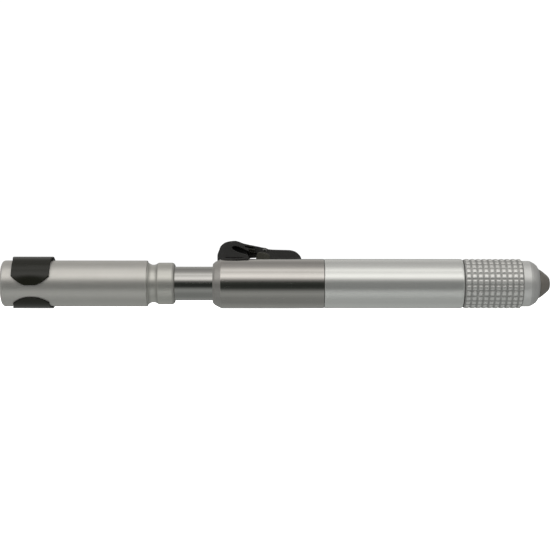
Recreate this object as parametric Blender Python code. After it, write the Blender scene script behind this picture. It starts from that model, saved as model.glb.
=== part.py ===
"""Bicycle mini pump with a quick-release frame bracket.

Frame: the origin is the centre of the bracket's mounting face, midway between its two bolt slots.
+X runs along the pump towards the nozzle, +Y points out of the mounting face into the bicycle
frame and +Z is up. The pump axis is parallel to X and lies AXIS_DEPTH in front of that face.

Sizes are in millimetres and MM turns them into metres. "depth" is the distance behind the pump
axis, towards +Y. Profiles of pieces turned about the pump axis are (x, radius); profiles of pins,
screws and bores are (depth, radius). Outlines are (x, z), or (depth, z) if they run along X.
"""

import math

import bmesh
import bpy
from mathutils import Matrix, Vector

MM = 0.001

# ---- driving dimensions ----------------------------------------------------------------------
AXIS_DEPTH = 20.0  # pump axis to mounting face
HANDLE_R = 9.4
HANDLE_START, HANDLE_END = -62.75, -3.5
COLLAR_R, COLLAR_END = 8.47, 7.6
ROD_R, ROD_INNER_R = 6.8, 5.8
ROD_START, ROD_END = -17.0, 89.0
ROD_HOLE_R = 6.95  # holes that surround the rod
BARREL_R, BARREL_INNER_R = 10.05, 8.9
SLEEVE_START, SLEEVE_END = 23.0, 67.95
BARREL_START, BARREL_END = 68.33, 124.4
BORE_R, LINER_R = 7.8, 8.75
BORE_FIT_R = 7.62  # pieces that fit in the liner bore
NOSE_R = 9.33
NOSE_START, NOSE_END = 148.2, 155.3
TIP_END = 160.0
SPINE_FRONT = 15.5
SEAT_DEPTH = 15.3  # rear faces of the clip foot and latch base
PIVOT_X, PIVOT_Z = 43.9, 13.45  # lever hinge
PIVOT = (PIVOT_X, PIVOT_Z)
EYE_R = 1.3

# Segments round a turned piece: visible outsides, inner pieces, small pins and bores.
OUT_SEG, IN_SEG, SMALL_SEG = 44, 24, 14
FINE_SEG = 28  # gland and thrust washer
SCREW_SEG, LATCH_SCREW_SEG = 16, 12

for old in list(bpy.data.objects):
    bpy.data.objects.remove(old, do_unlink=True)


# ---- materials -------------------------------------------------------------------------------
def material(name, colour, roughness, metallic=0.0):
    made = bpy.data.materials.new(name)
    made.use_nodes = True
    shader = made.node_tree.nodes["Principled BSDF"]
    shader.inputs["Base Color"].default_value = (*colour, 1.0)
    shader.inputs["Roughness"].default_value = roughness
    shader.inputs["Metallic"].default_value = metallic
    made.diffuse_color = (*colour, 1.0)
    return made


SATIN = material("satin_aluminium", (0.72, 0.72, 0.71), roughness=0.38, metallic=1.0)
HANDLE_SATIN = material("handle_aluminium", (0.60, 0.60, 0.58), roughness=0.34, metallic=1.0)
POLISHED = material("polished_aluminium", (0.66, 0.65, 0.63), roughness=0.14, metallic=1.0)
LINER = material("liner_aluminium", (0.62, 0.63, 0.64), roughness=0.3, metallic=1.0)
NYLON = material("black_nylon", (0.028, 0.028, 0.028), roughness=0.5)
ACETAL = material("black_acetal", (0.02, 0.02, 0.022), roughness=0.35)
RUBBER = material("black_rubber", (0.02, 0.02, 0.02), roughness=0.8)
TIP_RUBBER = material("grey_rubber", (0.13, 0.13, 0.12), roughness=0.6)
STEEL = material("steel", (0.56, 0.56, 0.56), roughness=0.25, metallic=1.0)
BRASS = material("brass", (0.75, 0.6, 0.3), roughness=0.3, metallic=1.0)


# ---- outlines and profiles -------------------------------------------------------------------
def arc(x, y, radius, start, end, steps):
    """Points on a circle about (x, y), from start to end in degrees."""
    angles = [math.radians(start + (end - start) * i / steps) for i in range(steps + 1)]
    return [(x + radius * math.cos(a), y + radius * math.sin(a)) for a in angles]


def stadium(x, half_length, radius):
    right = arc(x + half_length - radius, 0, radius, -90, 90, 5)
    return right + arc(x - half_length + radius, 0, radius, 90, 270, 5)


def hexagon(x, radius):
    return arc(x, 0, radius, 0, 300, 5)


def with_mirror(half):
    """A half outline closed by its mirror image in z = 0."""
    return half + [(across, -z) for across, z in reversed(half)]


def stepped(ends, radii):
    """Profile of a solid round piece whose radii[i] runs from ends[i] to ends[i + 1]."""
    points = [(ends[0], 0)]
    for low, high, radius in zip(ends, ends[1:], radii):
        points += [(low, radius), (high, radius)]
    return points + [(ends[-1], 0)]


def tube(low, high, inner, outer):
    """Profile of a plain tube."""
    return [(low, inner), (low, outer), (high, outer), (high, inner)]


# ---- modelling helpers -----------------------------------------------------------------------
def group(name, x=0.0, depth=0.0, z=0.0, parent=None):
    """An empty that holds the pieces moving together."""
    made = bpy.data.objects.new(name, None)
    bpy.context.scene.collection.objects.link(made)
    made.location = (x * MM, (depth - AXIS_DEPTH) * MM, z * MM)
    if parent is not None:
        made.location -= parent.matrix_world.translation
        made.parent = parent
    bpy.context.view_layer.update()
    return made


def place(shape, name, holder, finish, smooth=True):
    """Turns a bmesh in (x, depth, z) metres about the pump axis into an object of a group."""
    bmesh.ops.recalc_face_normals(shape, faces=shape.faces)
    if shape.calc_volume(signed=True) < 0:
        bmesh.ops.reverse_faces(shape, faces=shape.faces)
    shift = Vector((0, -AXIS_DEPTH * MM, 0)) - holder.matrix_world.translation
    bmesh.ops.translate(shape, verts=shape.verts, vec=shift)
    mesh = bpy.data.meshes.new(name)
    shape.to_mesh(mesh)
    shape.free()
    made = bpy.data.objects.new(name, mesh)
    bpy.context.scene.collection.objects.link(made)
    made.parent = holder
    if finish is not None:
        mesh.materials.append(finish)
    if smooth:
        mesh.shade_smooth()
        mesh.set_sharp_from_angle(angle=math.radians(30))
    return made


def spun(profile, segments):
    """A bmesh spun about X. A profile that starts off the axis is a closed loop."""
    shape = bmesh.new()
    points = [shape.verts.new((x * MM, 0.0, radius * MM)) for x, radius in profile]
    edges = [shape.edges.new(pair) for pair in zip(points, points[1:])]
    if profile[0][1] > 0:
        edges.append(shape.edges.new((points[-1], points[0])))
    bmesh.ops.spin(
        shape,
        geom=points + edges,
        cent=(0, 0, 0),
        axis=(1, 0, 0),
        angle=2 * math.pi,
        steps=segments,
        use_merge=True,
    )
    bmesh.ops.remove_doubles(shape, verts=shape.verts, dist=1e-6)
    return shape


def turned(name, profile, holder, finish=None, segments=IN_SEG):
    """A piece turned about the pump axis."""
    return place(spun(profile, segments), name, holder, finish)


def o_ring(name, x, ring_r, wire_r, holder, segments=20):
    """A rubber ring of six-sided section about the pump axis."""
    section = arc(x, ring_r, wire_r, 0, 300, 5)
    return turned(name, section, holder, RUBBER, segments)


def round_bar(name, profile, centre, holder, finish=None, segments=SMALL_SEG):
    """A turned piece whose axis runs along depth through centre, an (x, z)."""
    shape = spun(profile, segments)
    x_to_depth = Matrix.Rotation(math.radians(90), 4, "Z")
    bmesh.ops.transform(shape, matrix=x_to_depth, verts=shape.verts)
    x, z = centre
    bmesh.ops.translate(shape, verts=shape.verts, vec=Vector((x, 0, z)) * MM)
    return place(shape, name, holder, finish)


def prism(name, outline, span, holder, finish=None, along_x=False):
    """An outline extruded over span: (x, z) points along depth, or (depth, z) points along X."""
    low, high = span
    if along_x:
        corners = [(low, depth, z) for depth, z in outline]
        rise = Vector((high - low, 0, 0))
    else:
        corners = [(x, low, z) for x, z in outline]
        rise = Vector((0, high - low, 0))
    shape = bmesh.new()
    face = shape.faces.new([shape.verts.new(Vector(corner) * MM) for corner in corners])
    grown = bmesh.ops.extrude_face_region(shape, geom=[face])["geom"]
    moved = [item for item in grown if isinstance(item, bmesh.types.BMVert)]
    bmesh.ops.translate(shape, verts=moved, vec=rise * MM)
    return place(shape, name, holder, finish, smooth=False)


def box(name, x, depth, z, holder, finish=None):
    """A block given by its (low, high) spans."""
    outline = [(x[0], z[0]), (x[1], z[0]), (x[1], z[1]), (x[0], z[1])]
    return prism(name, outline, depth, holder, finish)


def boolean(target, other, operation):
    other.hide_render = True
    other.display_type = "WIRE"
    step = target.modifiers.new(operation.lower() + "_" + other.name, "BOOLEAN")
    step.object = other
    step.operation = operation
    step.solver = "EXACT"


def cut(target, other):
    boolean(target, other, "DIFFERENCE")


def weld_on(target, other):
    boolean(target, other, "UNION")


# ---- groups: one empty per moving group ------------------------------------------------------
bracket = group("bracket_group", depth=AXIS_DEPTH)
lever_group = group("lever_group", PIVOT_X, 13.0, PIVOT_Z, bracket)
barrel = group("barrel_group", parent=bracket)
piston_group = group("piston_group", x=95, parent=barrel)
handle = group("handle_group", parent=piston_group)
thrust_group = group("thrust_group", x=139, parent=barrel)
lock_collar_group = group("lock_collar_group", x=137, parent=thrust_group)
plug_group = group("dust_plug_group", x=156, parent=lock_collar_group)
ball_group = group("check_ball_group", x=122.5, parent=barrel)

# ---- handle: tube, end cap, waisted collar, lock ring ----------------------------------------
END_CROWN = 0.33  # how far the slightly crowned end face stands out from its corner
END_CORNER_R = 1.1
END_HOLE_R = 5.6
HANDLE_BORE_R, HANDLE_BORE_START = 8.0, -60.5


def handle_profile():
    corner_x = HANDLE_START + END_CROWN
    corner_r = HANDLE_R - END_CORNER_R
    points = [(HANDLE_START, END_HOLE_R), (HANDLE_START + 0.15, 7.0), (corner_x, corner_r)]
    for angle in map(math.radians, (22, 45, 67, 90)):
        x = corner_x + END_CORNER_R * (1 - math.cos(angle))
        points.append((x, corner_r + END_CORNER_R * math.sin(angle)))
    return points + [
        (HANDLE_END - 0.35, HANDLE_R), (HANDLE_END - 0.08, HANDLE_R - 0.12),
        (HANDLE_END, HANDLE_R - 0.4), (HANDLE_END, HANDLE_BORE_R),
        (HANDLE_BORE_START, HANDLE_BORE_R), (HANDLE_BORE_START, END_HOLE_R),
    ]


turned("handle_tube", handle_profile(), handle, HANDLE_SATIN, OUT_SEG)

END_CAP = [  # (x, radius), with an O-ring groove
    (-62.85, 0), (-62.83, 2.4), (-62.8, 4.2), (-62.75, 5.1), (-62.55, 5.35), (-60.3, 5.35),
    (-60.3, 7.8), (-59.5, 7.8), (-59.5, 6.65), (-57.9, 6.65), (-57.9, 7.8), (-57.0, 7.8),
    (-57.0, 5.2), (-59.6, 5.0), (-59.6, 0),
]
turned("handle_end_cap", END_CAP, handle, HANDLE_SATIN)
o_ring("end_cap_oring", -58.7, 7.37, 0.55, handle)

# The waist is a round-bottomed groove of radius GROOVE_ARC_R, deepest at GROOVE_X.
GROOVE_X, GROOVE_R, GROOVE_ARC_R = -1.15, 7.62, 3.83
GROOVE_START, GROOVE_END, GROOVE_STEPS = -3.3, 1.3, 8
SPIGOT_START, SPIGOT_R = -13.0, 7.85  # part of the collar inside the handle


def collar_profile():
    points = [(SPIGOT_START, ROD_HOLE_R), (SPIGOT_START, SPIGOT_R), (GROOVE_START, SPIGOT_R)]
    for i in range(GROOVE_STEPS):
        x = GROOVE_START + (GROOVE_END - GROOVE_START) * i / GROOVE_STEPS
        sagitta = GROOVE_ARC_R - math.sqrt(GROOVE_ARC_R**2 - (x - GROOVE_X) ** 2)
        points.append((x, GROOVE_R + sagitta))
    return points + [
        (GROOVE_END, COLLAR_R), (COLLAR_END - 1.1, COLLAR_R), (COLLAR_END - 0.5, 8.3),
        (COLLAR_END - 0.15, 7.95), (COLLAR_END, 7.5), (COLLAR_END, ROD_HOLE_R),
    ]


turned("handle_collar", collar_profile(), handle, HANDLE_SATIN, OUT_SEG)
turned("rod_lock_ring", tube(-16.4, -13.2, ROD_HOLE_R, 7.7), handle, STEEL)

# ---- plunger: rod, end plug, bumper, piston and its fixings ----------------------------------
CHAMFER = 0.3
PLUNGER_ROD = [
    (ROD_START, ROD_INNER_R), (ROD_START, ROD_R - CHAMFER), (ROD_START + CHAMFER, ROD_R),
    (ROD_END - CHAMFER, ROD_R), (ROD_END, ROD_R - CHAMFER), (ROD_END, ROD_INNER_R),
]
turned("plunger_rod", PLUNGER_ROD, handle, POLISHED, OUT_SEG)

ROD_END_PLUG = [  # (x, radius)
    (80.5, 2.05), (80.5, 5.3), (81.0, 5.65), (89.15, 5.65), (89.15, 6.7), (90.3, 6.7),
    (90.3, 3.0), (99.3, 3.0), (99.3, 2.05),
]
turned("rod_end_plug", ROD_END_PLUG, handle, LINER)

RETURN_BUMPER = [  # (x, radius)
    (84.6, 6.92), (84.6, 7.45), (85.1, 7.6), (87.5, 7.6), (88.0, 7.45), (88.0, 6.92),
]
turned("return_bumper", RETURN_BUMPER, handle, RUBBER)

PISTON = [  # (x, radius), with an O-ring groove
    (90.55, 3.15), (90.55, 7.4), (90.85, BORE_FIT_R), (93.4, BORE_FIT_R), (93.4, 6.1),
    (95.6, 6.1), (95.6, BORE_FIT_R), (98.4, BORE_FIT_R), (99.4, 6.6), (99.4, 3.15),
]
turned("piston", PISTON, piston_group, ACETAL)
o_ring("piston_oring", 94.5, 6.95, 0.74, piston_group, IN_SEG)
turned("piston_washer", tube(99.6, 100.2, 2.2, 5.2), handle, STEEL)

PISTON_SCREW = [  # (x, radius)
    (86.0, 0), (86.0, 1.6), (86.3, 1.9), (100.35, 1.9), (100.35, 3.3), (101.6, 3.3),
    (102.2, 2.7), (102.2, 0),
]
turned("piston_screw", PISTON_SCREW, handle, STEEL)

# ---- barrel: sleeve, rod guide, liner, seam ring, tube ---------------------------------------
SLEEVE_BORE_START = 24.6
FRONT_SLEEVE = [  # (x, radius), tapering in towards the handle
    (SLEEVE_BORE_START, 7.45), (SLEEVE_START, 7.45), (SLEEVE_START, 7.75), (23.3, 8.15),
    (23.75, 8.55), (25.0, 9.28), (26.1, 9.85), (26.6, 10.01), (27.1, BARREL_R),
    (SLEEVE_END - 0.12, BARREL_R), (SLEEVE_END, BARREL_R - 0.12),
    (SLEEVE_END, BARREL_INNER_R), (SLEEVE_BORE_START, BARREL_INNER_R),
]
front_sleeve = turned("front_sleeve", FRONT_SLEEVE, barrel, POLISHED, OUT_SEG)

WIPER_START, WIPER_END = 27.6, 29.0  # groove for the rod wiper
ROD_GUIDE = [  # (x, radius)
    (23.35, ROD_HOLE_R), (23.35, 7.3), (24.75, 7.3), (24.75, LINER_R), (33.0, LINER_R),
    (33.0, ROD_HOLE_R), (WIPER_END, ROD_HOLE_R), (WIPER_END, 7.95), (WIPER_START, 7.95),
    (WIPER_START, ROD_HOLE_R),
]
turned("rod_guide", ROD_GUIDE, barrel, ACETAL)
o_ring("rod_wiper", (WIPER_START + WIPER_END) / 2, 7.4, 0.45, barrel)
turned("cylinder_liner", tube(33.2, 123.0, BORE_R, LINER_R), barrel, LINER)
turned("seam_ring", tube(68.06, 68.22, 8.95, 9.82), barrel, RUBBER)

BARREL_TUBE = [  # (x, radius)
    (BARREL_START, BARREL_INNER_R), (BARREL_START, BARREL_R - 0.2),
    (BARREL_START + 0.2, BARREL_R), (BARREL_END - 0.9, BARREL_R), (BARREL_END - 0.4, 9.95),
    (BARREL_END - 0.1, 9.75), (BARREL_END, 9.45), (BARREL_END, BARREL_INNER_R),
]
turned("barrel_tube", BARREL_TUBE, barrel, SATIN, OUT_SEG)

# ---- head: base, check ball, gland, washer, knurled collar, nose, dust plug ------------------
HEAD_BASE = [  # (x, radius), with two O-ring grooves and a stepped bore
    (117.5, 1.2), (117.5, 7.3), (117.8, BORE_FIT_R), (118.9, BORE_FIT_R), (118.9, 6.3),
    (120.5, 6.3), (120.5, BORE_FIT_R), (123.25, BORE_FIT_R), (123.25, 8.7), (124.45, 8.7),
    (124.45, 7.0), (127.0, 7.0), (127.0, 5.9), (128.4, 5.9), (128.4, 7.0), (140.0, 7.0),
    (140.0, 5.1), (130.0, 5.1), (130.0, 1.4), (126.0, 1.4), (126.0, 2.3), (121.0, 2.3),
    (121.0, 1.2),
]
turned("head_base", HEAD_BASE, barrel, ACETAL)
o_ring("head_oring", 119.7, 7.05, 0.6, barrel)
o_ring("collar_oring", 127.7, 6.55, 0.5, barrel)

BALL_X, BALL_R = 122.6, 1.9
ball = bmesh.new()
bmesh.ops.create_uvsphere(ball, u_segments=16, v_segments=10, radius=BALL_R * MM)
bmesh.ops.translate(ball, verts=ball.verts, vec=Vector((BALL_X, 0, 0)) * MM)
place(ball, "check_ball", ball_group, STEEL)

VALVE_GLAND = [  # (x, radius)
    (130.25, 3.05), (130.25, 4.9), (138.6, 4.9), (138.6, 3.7), (137.6, 3.1), (136.0, 3.1),
    (135.4, 3.4), (133.8, 3.4), (133.2, 3.1), (131.6, 3.1),
]
turned("valve_gland", VALVE_GLAND, barrel, RUBBER, FINE_SEG)
turned("thrust_washer", tube(138.85, 139.7, 3.4, 4.85), thrust_group, BRASS, FINE_SEG)

KNURL_START, KNURL_END = 124.65, 148.05
KNURL_TOP, KNURL_ROOT = 10.05, 9.65
KNURL_COLUMNS, KNURL_ROWS = 10, 26  # peaks along X, peaks round the axis
PADS_START = KNURL_START + 0.95
KNURL_PITCH = (KNURL_END - 0.3 - PADS_START) / KNURL_COLUMNS
KNURL_HOLE_R, KNURL_RECESS_R, KNURL_RECESS_START = 7.2, 8.4, 141.0


def knurled_collar():
    """A collar spun at root radius, with every other vertex of each peak ring raised."""
    profile = [
        (KNURL_START, KNURL_HOLE_R), (KNURL_START, 9.6),
        (KNURL_START + 0.2, KNURL_TOP), (KNURL_START + 0.85, KNURL_TOP),
    ]
    for i in range(2 * KNURL_COLUMNS + 1):
        profile.append((PADS_START + KNURL_PITCH * i / 2, KNURL_ROOT))
    profile += [
        (KNURL_END, 9.5), (KNURL_END, KNURL_RECESS_R),
        (KNURL_RECESS_START, KNURL_RECESS_R), (KNURL_RECESS_START, KNURL_HOLE_R),
    ]
    shape = spun(profile, 2 * KNURL_ROWS)
    peaks = [PADS_START + KNURL_PITCH * (i + 0.5) for i in range(KNURL_COLUMNS)]
    for vertex in shape.verts:
        x, y, z = vertex.co
        at_root = abs(math.hypot(y, z) - KNURL_ROOT * MM) <= 1e-6
        at_peak = min(abs(x - peak * MM) for peak in peaks) <= 1e-5
        step = round(math.atan2(y, z) / (math.pi / KNURL_ROWS))
        if at_root and at_peak and step % 2:
            vertex.co.y *= KNURL_TOP / KNURL_ROOT
            vertex.co.z *= KNURL_TOP / KNURL_ROOT
    return shape


place(knurled_collar(), "knurled_lock_collar", lock_collar_group, SATIN)

NOSE_CAP = [  # (x, radius)
    (139.9, 3.4), (139.9, 4.7), (141.3, 4.7), (141.3, 8.2), (NOSE_START, 8.2),
    (NOSE_START, 9.1), (NOSE_START + 0.2, NOSE_R), (NOSE_END - 4.0, NOSE_R),
    (NOSE_END - 3.3, 9.1), (NOSE_END - 2.0, 8.38), (NOSE_END - 1.2, 7.72),
    (NOSE_END - 0.8, 7.28), (NOSE_END - 0.4, 6.55), (NOSE_END, 6.05), (NOSE_END, 3.4),
]
turned("nose_cap", NOSE_CAP, lock_collar_group, SATIN, OUT_SEG)

DUST_PLUG = [  # (x, radius)
    (142.0, 0), (142.0, 2.6), (142.6, 3.1), (NOSE_END + 0.2, 3.1), (NOSE_END + 0.2, 5.85),
    (NOSE_END + 0.4, 5.76), (TIP_END - 3.5, 5.2), (TIP_END - 1.1, 3.26),
    (TIP_END - 0.6, 2.75), (TIP_END - 0.2, 2.05), (TIP_END, 0.9), (TIP_END, 0),
]
turned("dust_plug", DUST_PLUG, plug_group, TIP_RUBBER, 40)

# ---- bracket spine: bar with two recessed boss slots -----------------------------------------
SPINE_LOWER_EDGE = (  # (x, z)
    arc(-57.1, -5.0, 1.5, 180, 270, 3)
    + [(-41.0, -6.5), (-38.5, -5.4), (22.5, -5.4), (26.5, -9.2)]
    + arc(57.8, -7.2, 2.0, 270, 360, 3)
)
spine = prism(
    "bracket_spine", with_mirror(SPINE_LOWER_EDGE), (SPINE_FRONT, AXIS_DEPTH), bracket, NYLON
)

SLOT_SPACING, SLOT_W, SLOT_L = 64.0, 5.4, 9.4  # bottle-boss spacing, M5 slots
RECESS_MARGIN = 2.2  # recess beyond each slot end
for side, sign, recess_r in (("left", -1, 4.4), ("right", 1, 4.9)):
    slot_x = sign * SLOT_SPACING / 2
    slot = stadium(slot_x, SLOT_L / 2, SLOT_W / 2)
    recess = stadium(slot_x, SLOT_L / 2 + RECESS_MARGIN, recess_r)
    cut(spine, prism(f"cut_slot_{side}", slot, (15.0, 20.5), bracket))
    cut(spine, prism(f"cut_recess_{side}", recess, (15.0, 18.1), bracket))

# ---- handle clip: open ring with lobed arm ends, on a foot -----------------------------------
CLIP_START, CLIP_END = -58.3, -42.05
CLIP_MIDDLE, CLIP_HALF = (CLIP_START + CLIP_END) / 2, (CLIP_END - CLIP_START) / 2
CLIP_IN_R, CLIP_OUT_R = 9.52, 10.5
CLIP_OFFSET = Vector((0.3, 0.4))  # (depth, z) centre of the outer circle
# Arm ends in degrees from the front (-Y) through +Z, and how far the lobes cut them back.
ARM_START, ARM_END = -5.5, 322.4
START_TRIM, END_TRIM = 25, 29
CLIP_ROWS, CLIP_STEPS = 8, 34  # faces along X, faces round the ring


def clip_sheet(shape, outer):
    """Rows of vertices on the clip's inner or outer surface."""
    rows = []
    for i in range(CLIP_ROWS + 1):
        across = math.sin(math.pi / 2 * (2 * i / CLIP_ROWS - 1))  # -1 to 1 along X
        lobe = 1 - math.sqrt(max(0.0, 1 - across * across))
        start, end = ARM_START + START_TRIM * lobe, ARM_END - END_TRIM * lobe
        row = []
        for j in range(CLIP_STEPS + 1):
            angle = math.radians(start + (end - start) * j / CLIP_STEPS)
            depth, z = -math.cos(angle), math.sin(angle)
            radius = CLIP_IN_R
            if outer:  # distance to the off-centre circle along this direction
                along = depth * CLIP_OFFSET.x + z * CLIP_OFFSET.y
                square = CLIP_OUT_R**2 - CLIP_OFFSET.length_squared + along * along
                radius = along + math.sqrt(square)
            point = Vector((CLIP_MIDDLE + CLIP_HALF * across, radius * depth, radius * z))
            row.append(shape.verts.new(point * MM))
        rows.append(row)
    return rows


def clip_shape():
    """An open ring whose off-centre outer circle thins the arms towards their ends."""
    shape = bmesh.new()
    face = shape.faces.new
    inner, outer = clip_sheet(shape, False), clip_sheet(shape, True)
    for i in range(CLIP_ROWS):
        for j in range(CLIP_STEPS):
            face((outer[i][j], outer[i + 1][j], outer[i + 1][j + 1], outer[i][j + 1]))
            face((inner[i][j + 1], inner[i + 1][j + 1], inner[i + 1][j], inner[i][j]))
        for j in (0, CLIP_STEPS):
            face((inner[i][j], inner[i + 1][j], outer[i + 1][j], outer[i][j]))
    for j in range(CLIP_STEPS):
        for i in (0, CLIP_ROWS):
            face((inner[i][j], inner[i][j + 1], outer[i][j + 1], outer[i][j]))
    return shape


clip = place(clip_shape(), "handle_clip", bracket, NYLON)
weld_on(clip, box("add_clip_foot", (-56.8, -43.6), (9.95, SEAT_DEPTH), (-4.6, 4.6), bracket))

# Screw through the clip foot and spine, into a nut in the spine's rear face.
CLIP_CENTRE = (CLIP_MIDDLE, 0)
CLIP_BORE = stepped([9.0, 11.2, 16.0], [3.0, 1.7])
cut(clip, round_bar("cut_clip_hole", CLIP_BORE, CLIP_CENTRE, bracket))
cut(spine, round_bar("cut_spine_clip_hole", stepped([15.0, 21.0], [1.7]), CLIP_CENTRE, bracket))
cut(spine, prism("cut_nut_pocket", hexagon(CLIP_MIDDLE, 3.4), (17.2, 20.5), bracket))
CLIP_SCREW = [  # (depth, radius)
    (9.7, 0), (9.7, 2.2), (10.0, 2.7), (11.0, 2.7), (11.0, 1.45), (19.0, 1.45), (19.0, 0),
]
round_bar("clip_screw", CLIP_SCREW, CLIP_CENTRE, bracket, STEEL)
nut = prism("clip_nut", hexagon(CLIP_MIDDLE, 3.15), (17.4, 19.5), bracket, STEEL)
cut(nut, round_bar("cut_nut_bore", stepped([17.0, 20.0], [1.6]), CLIP_CENTRE, bracket))

# ---- latch base: channel for the barrel shoe, hinge block on top -----------------------------
latch = box("latch_base", (25.5, 59.0), (11.9, SEAT_DEPTH), (-8.6, 8.6), bracket, NYLON)
CHANNEL_HALF = [(11.0, -3.2), (12.8, -3.2), (12.8, -5.4), (16.0, -5.4)]  # (depth, z)
channel = with_mirror(CHANNEL_HALF)
cut(latch, prism("cut_channel", channel, (28.2, 60.0), bracket, along_x=True))

HINGE_BLOCK = (  # (x, z)
    [(40.4, 8.3), (40.4, 11.6), (40.75, 12.45), (41.5, 12.9), (42.5, 13.0)]
    + arc(PIVOT_X, PIVOT_Z, EYE_R, 196, 66, 6)
    + [(45.5, 14.1), (47.5, 13.95), (54.5, 13.75), (56.2, 13.3), (57.4, 12.6)]
    + [(58.6, 11.3), (59.1, 10.2), (59.3, 8.3)]
)
PIN_BORE = stepped([7.0, 19.0], [0.78])
weld_on(latch, prism("add_hinge_block", HINGE_BLOCK, (8.2, 17.8), bracket))
cut(latch, box("cut_spine_room", (39.5, 60.2), (SEAT_DEPTH, 18.5), (8.0, 9.5), bracket))
cut(latch, box("cut_eye_slot", (40.0, 47.0), (10.6, 15.4), (10.0, 15.5), bracket))
cut(latch, round_bar("cut_pin_bore", PIN_BORE, PIVOT, bracket))

# Four screws, headed at the spine's rear.
LATCH_BORE = stepped([12.9, 16.0], [1.2])
SPINE_BORE = stepped([15.0, 17.9, 21.0], [1.2, 1.8])
LATCH_SCREW = stepped([13.2, 18.2, 19.6], [0.95, 1.6])
latch_centres = [(x, z) for x in (36.0, 54.0) for z in (6.9, -6.9)]
for i, centre in enumerate(latch_centres, 1):
    seg = LATCH_SCREW_SEG
    cut(latch, round_bar(f"cut_latch_hole_{i}", LATCH_BORE, centre, bracket, segments=seg))
    cut(spine, round_bar(f"cut_spine_hole_{i}", SPINE_BORE, centre, bracket, segments=seg))
    round_bar(f"latch_screw_{i}", LATCH_SCREW, centre, bracket, STEEL, seg)

# ---- cam lever: domed thumb head over the sleeve, arm, hinge eye -----------------------------
LEVER = (  # (x, z)
    [(24.5, 8.9), (24.5, 11.6), (24.95, 13.0), (25.65, 14.85), (26.6, 16.0), (28.2, 16.95)]
    + [(30.0, 17.34), (31.4, 17.46), (32.8, 17.35), (34.8, 16.6), (36.5, 16.1)]
    + [(38.5, 15.75), (41.0, 15.32), (42.6, 14.95)]
    + arc(PIVOT_X, PIVOT_Z, EYE_R, 84, -150, 8)
    + [(41.2, 11.9), (40.4, 10.8), (38.0, 10.7), (37.5, 10.3), (37.3, 8.9)]
)
lever = prism("cam_lever", LEVER, (3.6, 17.8), lever_group, NYLON)
SLEEVE_ROOM = stepped([20.0, 50.0], [11.95])
cut(lever, turned("cut_sleeve_room", SLEEVE_ROOM, lever_group, segments=48))
LEVER_CUTS = (  # name, x span, depth span, z span
    ("cut_lever_foot", (24.0, 38.8), (15.2, 18.5), (8.0, 9.6)),
    ("cut_arm_front", (37.4, 50.0), (2.0, 8.4), (7.0, 20.0)),
    ("cut_eye_front", (40.0, 50.0), (7.5, 10.9), (7.0, 20.0)),
    ("cut_eye_rear", (40.0, 50.0), (15.1, 19.0), (7.0, 20.0)),
)
for name, *spans in LEVER_CUTS:
    cut(lever, box(name, *spans, lever_group))
cut(lever, round_bar("cut_lever_bore", PIN_BORE, PIVOT, lever_group))

LEVER_PIN = [(8.1, 0), (8.1, 0.5), (8.3, 0.62), (17.7, 0.62), (17.9, 0.5), (17.9, 0)]
round_bar("lever_pin", LEVER_PIN, PIVOT, bracket, STEEL, SCREW_SEG)

PAD_IN_R, PAD_OUT_R = 10.3, 11.7
PAD_ANGLES = (20, 28, 36, 44, 50)  # degrees from +Z towards +Y


def pad_arc(radius, angles):
    return [(radius * math.sin(a), radius * math.cos(a)) for a in map(math.radians, angles)]


pad = pad_arc(PAD_IN_R, PAD_ANGLES) + pad_arc(PAD_OUT_R, PAD_ANGLES[::-1])
prism("lever_pad", pad, (26.0, 36.6), lever_group, RUBBER, along_x=True)

# ---- barrel shoe: T-rail screwed to the sleeve -----------------------------------------------
SADDLE_R = 10.2
RAIL_HALF = [(11.6, 5.4), (11.6, 2.9), (13.1, 2.9), (13.1, 5.0), (15.1, 5.0)]  # (depth, z)
shoe_outline = arc(0, 0, SADDLE_R, -32, 32, 8) + with_mirror(RAIL_HALF)
shoe = prism("barrel_shoe", shoe_outline, (29.0, 53.0), barrel, NYLON, along_x=True)

SHOE_BORE = stepped([9.0, 13.4, 16.0], [1.35, 2.55])
SLEEVE_BORE = stepped([8.0, 11.0], [1.35])
SHOE_SCREW = [  # (depth, radius)
    (9.1, 0), (9.1, 1.1), (13.6, 1.1), (13.6, 2.3), (14.7, 2.3), (14.9, 2.1), (14.9, 0),
]
for i, x in enumerate((34.5, 48.0), 1):
    centre, seg = (x, 0), SCREW_SEG
    cut(shoe, round_bar(f"cut_shoe_hole_{i}", SHOE_BORE, centre, barrel, segments=seg))
    sleeve_bore = round_bar(f"cut_sleeve_hole_{i}", SLEEVE_BORE, centre, barrel, segments=seg)
    cut(front_sleeve, sleeve_bore)
    round_bar(f"shoe_screw_{i}", SHOE_SCREW, centre, barrel, STEEL, seg)
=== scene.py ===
"""Bicycle mini pump with its frame bracket, in a pale studio.

The pump lies along X: handle at the low end, head at the high end, camera on the -Y side (the front).
Lengths are in mm until MM turns them into metres. Unless noted, x is the scene's own, and y (towards
the back) and z are measured from the pump's axis.
"""

import math

import bmesh
import bpy
from mathutils import Matrix, Vector


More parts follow.
